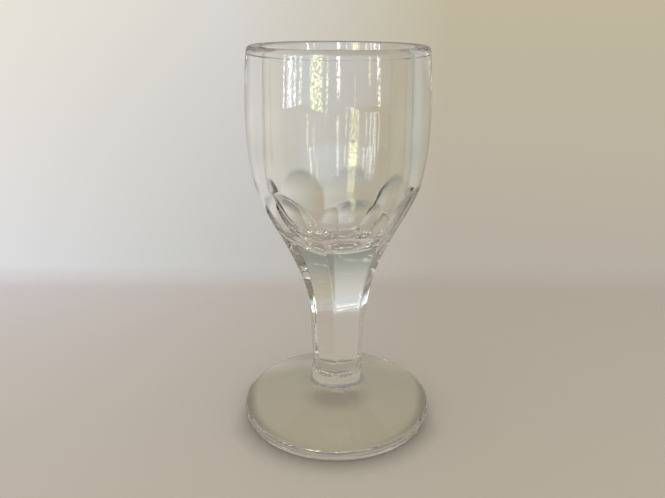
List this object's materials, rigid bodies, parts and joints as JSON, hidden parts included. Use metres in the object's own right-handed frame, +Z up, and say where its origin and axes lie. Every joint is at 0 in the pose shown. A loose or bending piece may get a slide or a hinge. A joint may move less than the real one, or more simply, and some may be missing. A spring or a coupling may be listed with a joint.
{
  "type": "port glass",
  "caption": "Small stemmed drinking glass of thick clear glass, with a slice-cut bowl base and stem, and a plain round foot.",
  "frame": {"origin": "on the table, under the middle of the foot", "axes": "+Z up along the axis of the glass, from the foot to the rim; -Y towards the viewer of the picture"},
  "size_m": [0.0596, 0.0596, 0.1144],
  "materials": {
    "clear_glass": "fire-polished and cut, clear with a faint grey-olive tint in its depth"
  },
  "bodies": {
    "root": {"foot": "clear_glass", "stem": "clear_glass", "bowl": "clear_glass"}
  },
  "joints": []
}
